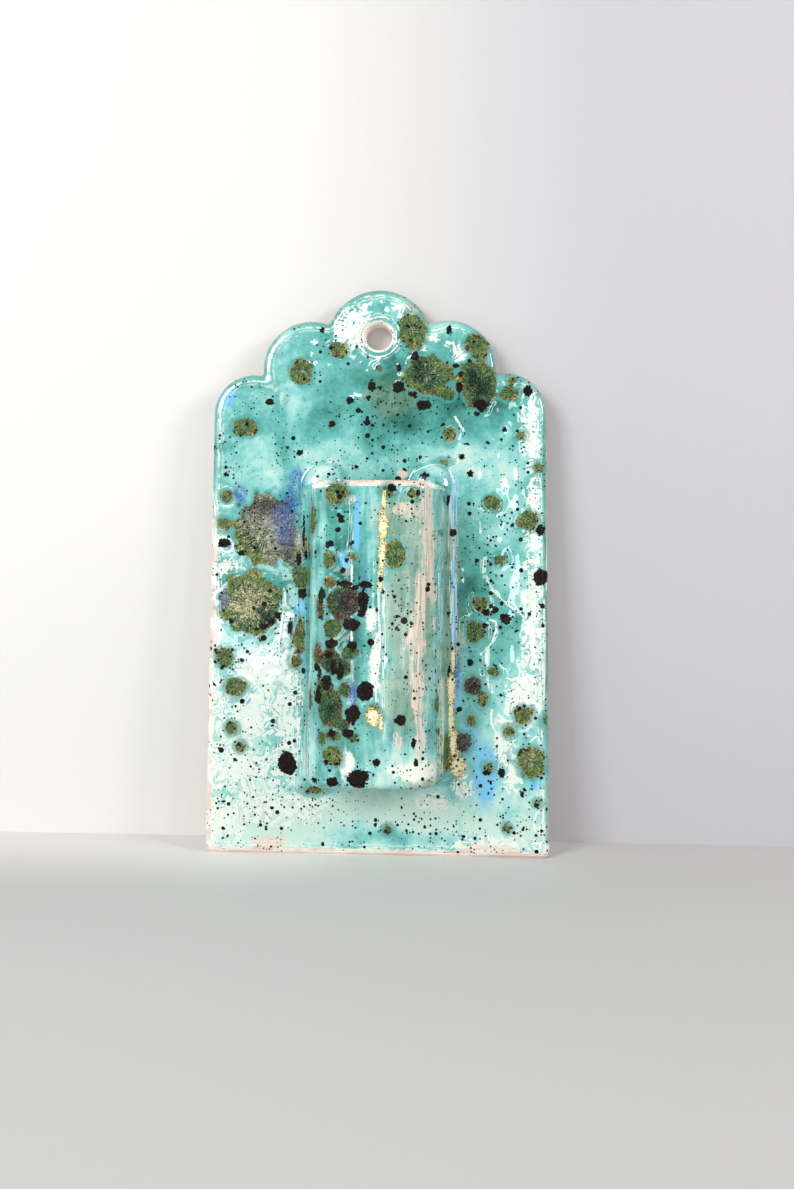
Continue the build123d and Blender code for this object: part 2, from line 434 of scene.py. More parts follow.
BLACK_SPOTS = (
    (399, 387, 6, 6), (413, 394, 5, 3), (424, 405, 9, 6), (399, 367, 3, 5), (415, 356, 4, 5),
    (456, 366, 3, 3), (449, 330, 3, 5), (459, 388, 4, 6), (461, 374, 3, 3), (481, 405, 7, 6),
    (477, 414, 3, 3), (528, 391, 5, 7), (372, 386, 5, 6), (380, 388, 3, 3), (368, 398, 3, 3),
    (367, 422, 4, 4), (385, 418, 2, 2), (398, 415, 3, 2), (504, 430, 3, 3), (488, 443, 2, 2),
    (466, 444, 3, 2), (443, 425, 3, 2), (514, 415, 2, 2), (470, 474, 4, 4), (462, 457, 3, 3),
    (449, 457, 2, 2), (541, 530, 5, 6), (541, 577, 7, 8), (477, 561, 3, 3), (486, 613, 5, 4),
    (495, 610, 4, 4), (506, 619, 6, 6), (485, 625, 4, 3), (516, 631, 2, 2), (449, 671, 2, 7),
    (501, 695, 3, 2), (486, 773, 5, 3), (502, 773, 4, 5), (455, 756, 2, 2), (531, 789, 2, 2),
    (341, 519, 4, 5), (329, 544, 5, 4), (352, 543, 3, 3), (343, 570, 3, 4), (344, 584, 9, 4),
    (366, 585, 7, 4), (363, 602, 6, 13), (352, 624, 9, 7), (322, 594, 4, 8), (331, 644, 7, 5),
    (352, 645, 6, 5), (334, 668, 4, 9), (327, 680, 6, 6), (365, 691, 9, 10), (353, 715, 8, 9),
    (348, 733, 7, 5), (318, 697, 5, 7), (400, 721, 6, 5), (414, 743, 3, 6), (385, 750, 2, 2),
    (377, 762, 4, 4), (416, 763, 3, 4), (357, 778, 10, 10), (332, 782, 6, 5), (314, 780, 5, 3),
    (428, 586, 2, 5), (397, 616, 3, 2), (397, 629, 2, 3), (392, 488, 5, 4), (453, 533, 4, 4),
    (287, 764, 10, 11), (381, 579, 3, 4), (303, 594, 6, 5), (271, 621, 5, 3), (264, 626, 5, 3),
    (231, 621, 3, 3), (304, 532, 2, 22), (299, 560, 3, 8), (278, 615, 4, 4), (256, 629, 3, 2),
    (241, 553, 5, 3), (225, 543, 6, 5), (290, 627, 3, 8), (226, 474, 3, 3), (306, 555, 3, 5),
    (425, 476, 5, 4), (448, 500, 3, 6), (355, 588, 6, 3), (361, 613, 5, 5), (340, 672, 4, 9),
    (329, 655, 5, 4), (320, 672, 3, 6), (347, 560, 3, 3), (338, 530, 3, 3), (348, 712, 5, 4),
    (332, 733, 4, 4), (326, 763, 4, 3), (270, 402, 5, 4), (332, 424, 4, 4), (214, 448, 3, 3),
    (300, 452, 4, 3), (322, 330, 3, 3), (250, 366, 4, 3), (350, 400, 5, 4),
)
PATCHES = {
    "metal": (
        (262, 512, 26, 18), (282, 540, 16, 30), (300, 532, 4, 30), (463, 742, 10, 12), (473, 686, 9, 10),
        (352, 602, 12, 12),
    ),
    "lustre": (
        (292, 502, 9, 20), (284, 524, 12, 18), (240, 494, 6, 9), (223, 600, 5, 9), (365, 592, 3, 22),
        (290, 627, 3, 8), (353, 700, 3, 20), (297, 480, 9, 12), (457, 672, 3, 20),
    ),
    "sage": (
        (412, 600, 24, 110), (448, 610, 12, 100), (400, 520, 24, 26), (415, 312, 16, 10), (440, 505, 8, 20),
        (430, 780, 20, 12), (405, 700, 20, 40), (394, 396, 26, 22),
    ),
    "blush": (
        (403, 508, 13, 8), (426, 510, 8, 26), (431, 552, 7, 30), (421, 590, 8, 26), (418, 636, 10, 34),
        (417, 685, 7, 34), (421, 735, 5, 22), (435, 594, 8, 9), (435, 624, 5, 7), (399, 742, 4, 5),
        (395, 736, 3, 4), (350, 500, 6, 5), (490, 850, 30, 5), (270, 842, 16, 6), (403, 474, 5, 5),
        (424, 484, 8, 3),
    ),
    # Milky glaze, partly painted reflections of the windows
    "milk": (
        (352, 330, 16, 20), (430, 339, 10, 4), (447, 345, 6, 5), (460, 353, 6, 7), (424, 347, 3, 6),
        (531, 430, 7, 34), (534, 520, 6, 54), (532, 620, 8, 62), (520, 700, 12, 24), (505, 745, 8, 26),
        (512, 775, 6, 14), (225, 565, 12, 7), (214, 600, 7, 70), (262, 668, 26, 16), (250, 715, 34, 26),
        (240, 765, 36, 26), (285, 700, 12, 70), (222, 815, 20, 20), (275, 805, 40, 14), (372, 620, 5, 14),
        (375, 662, 5, 36), (413, 772, 22, 8), (436, 802, 14, 6), (345, 762, 10, 14), (463, 788, 9, 9),
        (500, 846, 40, 7),
    ),
    # Painted reflections of the sky
    "sky": (
        (485, 775, 12, 30), (470, 740, 8, 20), (458, 690, 5, 20), (357, 520, 3, 34), (345, 560, 6, 10),
        (453, 500, 4, 30), (454, 600, 3, 60), (536, 785, 6, 5), (226, 398, 10, 9), (304, 640, 3, 40),
        (299, 610, 4, 10),
    ),
    # Painted reflections of a warm light, drawn as golden crust
    "gold": (
        (453, 660, 2, 14), (451, 688, 4, 16), (451, 716, 3, 18), (453, 744, 3, 14), (458, 766, 6, 10),
        (384, 500, 2, 9), (383, 526, 4, 16), (382, 555, 3, 16), (380, 580, 2, 9), (373, 717, 6, 7),
        (381, 724, 2, 8),
    ),
    # White hairs, partly painted highlight lines
    "hairy": (
        (296, 720, 9, 60), (285, 690, 12, 60), (308, 640, 8, 70), (312, 490, 7, 24), (306, 770, 8, 24),
        (384, 640, 3, 60), (384, 715, 2, 26), (350, 545, 3, 40), (452, 560, 5, 80), (352, 700, 2, 50),
    ),
}

# Painted highlight lines in pale glaze, each a row of places
HIGHLIGHT_THREADS = (
    ((492, 709), (490, 723), (500, 738), (502, 751), (507, 762), (512, 775), (522, 783)),
    ((519, 758), (516, 770), (522, 782)),
    (
        (513, 716), (515, 708), (522, 704), (530, 706), (535, 714), (533, 722), (527, 727), (518, 725),
        (513, 716),
    ),
    ((540, 662), (540, 700), (541, 714)), ((544, 600), (545, 650), (544, 700)),
    ((546, 440), (547, 520), (546, 590)), ((506, 696), (518, 690), (531, 693), (538, 702)),
    ((510, 701), (524, 695), (537, 704), (540, 716)), ((537, 812), (534, 822), (535, 831)),
    ((543, 790), (544, 830)), ((528, 744), (538, 734), (541, 745)),
    ((482, 560), (484, 578), (500, 599), (523, 616)),
    ((490, 620), (498, 622), (492, 643), (485, 652), (489, 690)),
    ((414, 472), (431, 464), (448, 466), (453, 480)), ((455, 417), (464, 431)),
    ((415, 352), (416, 342), (424, 336), (440, 340)),
    ((381, 560), (378, 589), (379, 617), (380, 650), (376, 679), (376, 703)),
    ((352, 560), (352, 627), (352, 722)),
    ((220, 590), (229, 580), (240, 574), (244, 581), (234, 589), (222, 596)),
    ((242, 567), (250, 573), (267, 574)), ((217, 590), (217, 607), (220, 632), (223, 650)),
    ((284, 588), (286, 598), (283, 615), (279, 640), (278, 665)),
    ((219, 490), (227, 485), (235, 492), (234, 503), (226, 507), (219, 500)),
    ((213, 490), (217, 530), (213, 548)),
    ((217, 543), (224, 535), (233, 541), (233, 550), (224, 553), (217, 543)),
    ((504, 731), (508, 725), (515, 730)), ((444, 431), (450, 424), (457, 431), (456, 441), (447, 443)),
    ((514, 436), (520, 429), (528, 434), (526, 443)),
)

# The last number is how dark (below zero) or how frosted (above zero) the crust is there
CRUST_TONES = (
    (251, 600, 28, 24, 0.6), (248, 618, 20, 10, 0.5), (268, 530, 28, 32, 0.5), (531, 760, 13, 14, 0.3),
    (300, 530, 4, 30, 0.8), (425, 380, 12, 9, -0.2), (484, 392, 12, 14, -0.8), (418, 362, 5, 8, -0.9),
    (268, 617, 14, 8, -1.0), (262, 506, 22, 7, -0.8), (301, 578, 8, 8, -0.5), (345, 603, 18, 16, -0.9),
    (330, 668, 12, 12, -0.6), (331, 712, 14, 12, -0.3), (472, 372, 6, 14, -0.6), (290, 548, 8, 16, -0.4),
    (437, 395, 8, 5, -0.5), (300, 637, 6, 16, -0.2), (333, 756, 9, 8, 0.4), (413, 494, 8, 8, 0.4),
    (240, 622, 8, 6, -0.5), (463, 742, 8, 10, -0.7), (335, 660, 26, 30, -0.5), (322, 600, 8, 14, -0.6),
    (335, 715, 24, 26, -0.4), (473, 686, 9, 10, -0.7),
)

# The last number is how deep (below zero) or how light (above zero) the glaze is there
TONES = (
    (400, 380, 46, 36, -1.0), (440, 420, 56, 26, -0.9), (470, 590, 14, 60, -0.5), (500, 640, 14, 26, -0.6),
    (310, 560, 12, 70, -0.9), (335, 540, 20, 50, -0.4), (330, 700, 24, 60, -0.6), (495, 400, 26, 10, -0.6),
    (380, 833, 30, 6, -0.5), (430, 650, 60, 90, -0.1), (440, 815, 70, 18, 0.8), (330, 812, 70, 12, 0.7),
    (250, 820, 50, 26, 0.6), (530, 840, 40, 16, 0.6), (510, 590, 18, 40, 0.4), (505, 725, 26, 26, 0.5),
    (470, 450, 30, 20, 0.2), (400, 700, 16, 60, 0.1), (440, 600, 10, 60, 0.1), (405, 770, 34, 14, 0.6),
    (380, 822, 170, 22, 0.6), (352, 640, 12, 90, -0.5), (338, 560, 10, 70, -0.6), (415, 312, 20, 8, 0.3),
    (500, 500, 30, 30, 0.2), (430, 838, 60, 5, -0.4), (505, 815, 40, 8, -0.3), (250, 660, 30, 10, -0.3),
    (228, 600, 16, 30, -0.3), (450, 450, 26, 18, 0.5), (215, 690, 16, 80, 0.4), (250, 740, 50, 60, 0.5),
    (260, 420, 50, 40, -0.2), (330, 440, 40, 24, 0.3),
)


def mark_shares(points, pixels):
    """Where the points lie about each mark's middle, in its half sizes, with its smaller half size."""
    table = np.array(pixels, float)
    places = cast(table[:, :2])
    scale = np.linalg.norm(places - CAMERA_PLACE, axis=1) / FOCAL_PIXELS
    sizes = table[:, 2:4] * scale[:, None]
    for place, outward, halves in zip(places, gradient(body_distance, places), sizes):
        across = np.cross(outward, (0, 0, 1))
        across /= max(np.linalg.norm(across), 1e-6)
        axes = (across / halves[0], np.cross(across, outward) / halves[1], outward / (3 * min(halves)))
        shares = (points - place) @ np.array(axes).T
        yield shares, np.linalg.norm(shares, axis=1), min(halves)


def mark_depth(points, pixels):
    """How far inside the nearest mark each point lies, in millimetres, and its spoke.

    The depth is less than zero outside. The spoke is a place that turns with the way from the mark's
    middle, so that noise read there fans out like crystals.
    """
    lobes = 1 + 0.20 * noise(points, 5.0, 31) + 0.16 * noise(points, 2.4, 32)
    field = np.full(len(points), -9.0)
    spokes = np.zeros((len(points), 3))
    for number, (shares, away, small) in enumerate(mark_shares(points, pixels)):
        depth = (1 - away * lobes) * small
        nearer = depth > field
        field[nearer] = depth[nearer]
        turn = shares[nearer, :2] / np.maximum(away[nearer, None], 0.1)
        spokes[nearer, :2] = turn * (2 + 1.2 * small)
        spokes[nearer, 2] = 3.7 * number + 0.4 * small * away[nearer]
    return field, spokes


def patch_field(points, pixels):
    """1 in the middle of a patch, a half on its border and soft beyond it."""
    return np.max([0.5 ** (away**2) for _, away, _ in mark_shares(points, pixels)], axis=0)


def tone_field(points, pixels):
    """The sum of some places' tones, from -1 to 1."""
    spread = zip(mark_shares(points, pixels), pixels)
    return np.clip(sum(tone[-1] * 0.5 ** (away**2) for (_, away, _), tone in spread), -1, 1)


def highlight_thread_field(points):
    """1 on a painted highlight line and 0 beside it."""
    nearest = np.full(len(points), 9.0)
    for thread in HIGHLIGHT_THREADS:
        row = np.array(thread, float)
        for _ in range(2):
            a, b = row[:-1], row[1:]
            cut = np.stack([0.75 * a + 0.25 * b, 0.25 * a + 0.75 * b], axis=1).reshape(-1, 2)
            row = np.concatenate([row[:1], cut, row[-1:]])
        row = cast(row)
        for a, b in zip(row[:-1], row[1:]):
            share = np.clip((points - a) @ (b - a) / ((b - a) @ (b - a)), 0, 1)
            nearest = np.minimum(nearest, np.linalg.norm(points - a - share[:, None] * (b - a), axis=1))
    return hollow(nearest, 0, 0.55 + 0.15 * noise(points, 6.0, 33))


def hollow(value, middle, width):
    """A smooth bump of height 1 about a value."""
    return np.exp(-(((value - middle) / width) ** 2))


def bend(p, reach=0.7):
    """How sharply the body curves at each point, per millimetre: above zero on edges, below in seams."""
    total = -6 * body_distance(p)
    for nudge in reach * np.eye(3):
        total += body_distance(p + nudge) + body_distance(p - nudge)
    return total / reach**2


def glaze_relief(p, bloom, spot, thread):
    """How far the glaze stands out at each point: unevenness of the slab, runs, blooms and crinkles."""
    on_pocket = blend_step(-p[:, 1], 8.0, 12.0)
    low = 0.09 * noise(p, 26.0, 11) + 0.07 * noise(p, 11.0, 12)
    runs = noise(p, np.array([3.2, 4.5, 30.0]), 13) + 0.6 * noise(p, np.array([1.7, 2.4, 18.0]), 14)
    ripple = noise(p, 4.2, 15) + 0.7 * noise(p, 2.3, 16)
    relief = low + (0.02 + 0.025 * on_pocket) * runs + (0.040 - 0.025 * on_pocket) * ripple
    relief += 0.12 * blend_step(bloom, -0.6, 0.8) + 0.10 * hollow(bloom, -1.1, 0.7)
    relief += 0.06 * blend_step(spot, -0.5, 0.6) + 0.03 * hollow(spot, -1.0, 0.6)
    relief += 0.07 * thread
    border = outline_distance(p[:, 0], p[:, 2])
    hole = HOLE - np.hypot(p[:, 0], p[:, 2])
    relief += (0.12 * hollow(border, -3.4, 0.7) + 0.08 * hollow(hole, -3.3, 0.7)) * (1 - on_pocket)
    return relief


def thin_glaze(p):
    """How much of the clay shows through where the glaze breaks over an edge."""
    x, z = p[:, 0], p[:, 2]
    on_pocket = blend_step(-p[:, 1], 10.0, 13.0)
    left = blend_step(-x, PLATE_HALF - 8, PLATE_HALF - 4) * blend_step(-z, 50, 90)
    foot = blend_step(-z, -FOOT - 7, -FOOT - 4)
    lip = 0.9 * blend_step(-np.hypot(x, z), -HOLE - 1.7, -HOLE - 0.9)
    plate = np.maximum(np.maximum(left, foot), np.maximum(lip, 0.12))
    pocket = 0.15 + 0.85 * blend_step(z, RIM - 5, RIM - 3)
    weight = plate + (pocket - plate) * on_pocket
    return weight * blend_step(bend(p), 0.10, 0.34)


# Pieces

def make_piece(name, points, faces, smooth_normals, fields, material, node, slot):
    """A mesh piece that stands for a packed glaze coat."""
    mesh = bpy.data.meshes.new(name)
    mesh.from_pydata((points * MM).tolist(), [], faces.tolist())
    mesh.polygons.foreach_set("use_smooth", np.ones(len(faces), bool))
    for label, value in fields.items():
        kind, member = ("FLOAT", "value") if value.ndim == 1 else ("FLOAT_VECTOR", "vector")
        mesh.attributes.new(label, kind, "POINT").data.foreach_set(member, value.astype(np.float32).ravel())
    mesh.update()
    mesh.normals_split_custom_set_from_vertices(smooth_normals.tolist())
    mesh.materials.append(material)
    piece = add_object(name, mesh)
    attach(piece, "root")
    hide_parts(node)


def vertex_normals(points, quads):
    """Area-weighted normals of the quads at each point."""
    a, b, c, d = (points[quads[:, k]] for k in range(4))
    face = np.cross(c - a, d - b)
    total = sum(sums(quads[:, k], face, len(points)) for k in range(4))
    return total / np.maximum(np.linalg.norm(total, axis=1, keepdims=True), 1e-12)


def shell(outer, inner, normals, quads, fields):
    """Closes a patch of skin: its outside, its inside and the band between them along its border."""
    used, local = np.unique(quads, return_inverse=True)
    local = local.reshape(-1, 4)
    n = len(used)
    edges = np.concatenate([local[:, [k, (k + 1) % 4]] for k in range(4)])
    key = edges[:, 0].astype(np.int64) * n + edges[:, 1]
    back = edges[:, 1].astype(np.int64) * n + edges[:, 0]
    border = edges[~np.isin(key, back)]
    band = np.stack([border[:, 1], border[:, 0], border[:, 0] + n, border[:, 1] + n], axis=1)
    points = np.concatenate([outer[used], inner[used]])
    faces = np.concatenate([local, local[:, ::-1] + n, band])
    both = np.concatenate([normals[used], -normals[used]])
    return points, faces, both, {k: np.concatenate([v[used], v[used]]) for k, v in fields.items()}


def make_skins(glaze, lining):
    """The three glaze coats, cut from one continuous surface so that no line shows between them."""
    low = np.array([-PLATE_HALF, POCKET_FRONT, FOOT]) - 2.5 * STEP
    high = np.array([PLATE_HALF, 0, PLATE_TOP]) + 2.5 * STEP
    points, quads = surface_net(body_distance, low, high, STEP)
    points = settle(points, quads, body_distance, 3)
    quads = quads[~snap(points, quads, bare_side)]
    on_lining = ~snap(points, quads, lining_side)
    on_pocket = ~snap(points, quads, pocket_side) & ~on_lining

    x, z = points[:, 0], points[:, 2]
    bloom, spokes = mark_depth(points, OLIVE_BLOOMS)
    spot = mark_depth(points, BLACK_SPOTS)[0]
    thread = highlight_thread_field(points)
    fields = {
        "bloom": bloom,
        "spokes": spokes,
        "spot": spot,
        "thread": thread,
        "tone": tone_field(points, TONES),
        "crust_tone": tone_field(points, CRUST_TONES),
        "low": blend_step(-z, 20, 40),
        "seam": blend_step(-bend(points), 0.04, 0.2),
        "thin": thin_glaze(points),
        "runny": 0.2 + 0.8 * blend_step(-points[:, 1], 8.0, 11.0),
        "border": np.maximum(outline_distance(x, z), HOLE - np.hypot(x, z)),
    }
    for name, places in PATCHES.items():
        fields[name] = patch_field(points, places)
    normal = gradient(body_distance, points)
    edge = blend_step(bare_side(points), -2.2, 0)
    relief = glaze_relief(points, bloom, spot, thread) * (1 - edge) - EDGE_SINK * edge
    outer = points + normal * relief[:, None]
    inner = points - normal * SKIN
    smooth = vertex_normals(outer, quads)
    coats = (
        ("plate_skin", ~on_pocket & ~on_lining, glaze, "plate_glaze", "glaze"),
        ("pocket_skin", on_pocket, glaze, "pocket_glaze", "glaze"),
        ("lining_skin", on_lining, lining, "lining_glaze", "lining"),
    )
    for name, chosen, material, node, slot in coats:
        make_piece(name, *shell(outer, inner, smooth, quads[chosen], fields), material, node, slot)


# Materials

class Nodes:
    """The shader nodes of a material or a world, and short calls for them."""

    def __init__(self, owner):
        owner.use_nodes = True
        self.nodes = owner.node_tree.nodes
        self.links = owner.node_tree.links

    def feed(self, socket, value):
        if isinstance(value, bpy.types.NodeSocket):
            self.links.new(value, socket)
        elif isinstance(value, tuple) and len(value) == 3 and socket.type == "RGBA":
            socket.default_value = (*value, 1)
        else:
            socket.default_value = value

    def node(self, kind, *values, inputs=None, **settings):
        """A new node with its settings, and with values or other nodes' outputs for its inputs."""
        node = self.nodes.new("ShaderNode" + kind)
        for name, value in settings.items():
            setattr(node, name, value)
        for key, value in (inputs or dict(enumerate(values))).items():
            self.feed(node.inputs[key], value)
        return node

    def math(self, operation, a, b=0.0, c=0.0):
        return self.node("Math", a, b, c, operation=operation).outputs[0]

    def add(self, total, *others):
        for other in others:
            total = self.math("ADD", total, other)
        return total

    def times(self, product, *others):
        for other in others:
            product = self.math("MULTIPLY", product, other)
        return product

    def most(self, a, b):
        return self.math("MAXIMUM", a, b)

    def scaled(self, value, factor, offset):
        return self.math("MULTIPLY_ADD", value, factor, offset)

    def centred(self, value, spread):
        """A noise value about zero instead of a half."""
        return self.scaled(value, spread, -spread / 2)

    def ramp(self, value, low, high, to_low=0.0, to_high=1.0):
        """Smooth steps of value from low to high."""
        limits = (low, high, to_low, to_high)
        return self.node("MapRange", value, *limits, interpolation_type="SMOOTHSTEP").outputs[0]

    def mix(self, share, a, b):
        return self.node("Mix", inputs={0: share, 6: a, 7: b}, data_type="RGBA").outputs[2]


class Paint(Nodes):
    """A new Principled material. Lengths in it are millimetres."""

    def __init__(self, name):
        self.material = bpy.data.materials.new(name)
        super().__init__(self.material)
        self.shader = self.nodes["Principled BSDF"]
        place = {0: self.node("TexCoord").outputs["Object"], "Scale": 1 / MM}
        self.place = self.node("VectorMath", inputs=place, operation="SCALE").outputs[0]

    def lattice(self, sizes, seed, place=None):
        """The place, or another vector, in units of some sizes and moved by a seed."""
        place = self.place if place is None else place
        units = self.node("VectorMath", place, sizes, operation="DIVIDE").outputs[0]
        return self.node("VectorMath", units, (seed, seed, seed), operation="ADD").outputs[0]

    def noise(self, size, detail=2.0, rough=0.5, bend=0.0, seed=0.0, place=None):
        """Noise from about 0 to 1. size is a length, or one to each axis."""
        sizes = size if isinstance(size, tuple) else (size, size, size)
        inputs = {"Vector": self.lattice(sizes, seed, place), "Scale": 1.0}
        inputs |= {"Detail": detail, "Roughness": rough, "Distortion": bend}
        return self.node("TexNoise", inputs=inputs).outputs["Fac"]

    def field(self, name, output="Fac"):
        """One of the piece's own fields."""
        return self.node("Attribute", attribute_name=name).outputs[output]

    def patch(self, name, rough, low, high):
        """Where a patch lies, its border broken up by a noise value."""
        return self.ramp(self.add(self.field(name), rough), low, high)

    def specks(self, spacing, largest, power, seed, crowd=1.0):
        """Round specks of many sizes: how far inside one each point lies, in millimetres."""
        place = self.lattice((spacing, spacing, spacing), seed)
        cells = self.node("TexVoronoi", inputs={"Vector": place, "Scale": 1.0})
        chance = self.node("SeparateColor", cells.outputs["Color"]).outputs[0]
        radius = self.times(self.math("POWER", chance, power), largest, crowd)
        return self.math("SUBTRACT", radius, self.times(cells.outputs["Distance"], spacing))

    def colours(self, value, stops):
        node = self.node("ValToRGB", value)
        elements = node.color_ramp.elements
        while len(elements) < len(stops):
            elements.new(0.5)
        for element, (place, colour) in zip(elements, stops):
            element.position = place
            element.color = (*colour, 1)
        return node.outputs[0]

    def bump(self, height, depth):
        """Bump from a height of 0 to 1, depth millimetres deep."""
        node = self.node("Bump", inputs={"Distance": depth * MM, "Height": height})
        normal = self.shader.inputs["Normal"]
        if normal.is_linked:
            self.links.new(normal.links[0].from_socket, node.inputs["Normal"])
        self.links.new(node.outputs[0], normal)

    def finish(self, colour, rough):
        self.feed(self.shader.inputs["Base Color"], colour)
        self.feed(self.shader.inputs["Roughness"], rough)
        return self.material


def srgb(red, green, blue):
    """A colour as a screen shows it, 0 to 255, in the shader's own linear values."""
    parts = np.array([red, green, blue]) / 255.0
    linear = np.where(parts <= 0.04045, parts / 12.92, ((parts + 0.055) / 1.055) ** 2.4)
    return tuple(float(x) for x in linear)


DEEP = srgb(44, 110, 100)
TEAL = srgb(76, 157, 149)
TURQUOISE = srgb(106, 184, 178)
SOFT = srgb(150, 211, 206)
MINT = srgb(194, 224, 213)
FERN = srgb(66, 120, 100)
SAGE = srgb(124, 162, 145)
PALE_SAGE = srgb(168, 191, 175)
CREAM = srgb(232, 238, 228)
BLUSH = srgb(221, 201, 187)
PINE = srgb(26, 44, 32)
MOSS = srgb(50, 92, 60)
OLIVE = srgb(92, 118, 62)
STRAW = srgb(152, 152, 92)
SAND = srgb(214, 206, 152)
RUST = srgb(106, 72, 42)
UMBER = srgb(66, 42, 28)
INK = srgb(12, 9, 10)
SLATE = srgb(66, 56, 54)
ASH = srgb(108, 112, 98)
SILVER = srgb(166, 168, 148)
ULTRAMARINE = srgb(44, 82, 168)
# The blue of the painted sky reflections
SKY_REFLECTION = srgb(112, 192, 230)
GOLD = srgb(172, 142, 76)
LEMON = srgb(234, 222, 154)
ROSY_CLAY = srgb(226, 206, 194)
BARE_CLAY = srgb(238, 222, 212)
PALE_CLAY = srgb(246, 236, 228)

# How the glaze's colours follow its depth, and how each crust's colours follow its grain
TURQUOISES = ((0.12, DEEP), (0.34, TEAL), (0.50, TURQUOISE), (0.66, SOFT), (0.82, MINT))
SAGES = ((0.15, FERN), (0.48, SAGE), (0.80, PALE_SAGE))
METALS = ((0.30, INK), (0.40, SLATE), (0.52, ASH), (0.68, SILVER), (0.80, CREAM))
# The golden strips' colours paint a warm light's reflection
GOLDS = ((0.30, UMBER), (0.38, GOLD), (0.50, LEMON), (0.85, CREAM))
CLAYS = ((0.36, ROSY_CLAY), (0.50, BARE_CLAY), (0.64, PALE_CLAY))
# A bloom's border, its ring and its middle
BLOOMS = (
    ((0.30, UMBER), (0.40, RUST), (0.48, OLIVE), (0.61, STRAW), (0.76, SAND)),
    ((0.28, PINE), (0.44, MOSS), (0.58, OLIVE), (0.76, STRAW)),
    ((0.30, INK), (0.40, PINE), (0.50, MOSS), (0.60, ASH), (0.74, SAND)),
)

# Specks: their spacing, the largest one's radius, how rare large ones are, and a seed
SPECKS = ((4.0, 1.4, 7.0, 1.0), (2.1, 0.85, 4.0, 2.0), (1.1, 0.48, 3.0, 3.0))

# Painted highlight lines along the plaque's border: how far in, and how strong
BORDER_HIGHLIGHTS = ((3.0, 0.9), (4.3, 0.45))


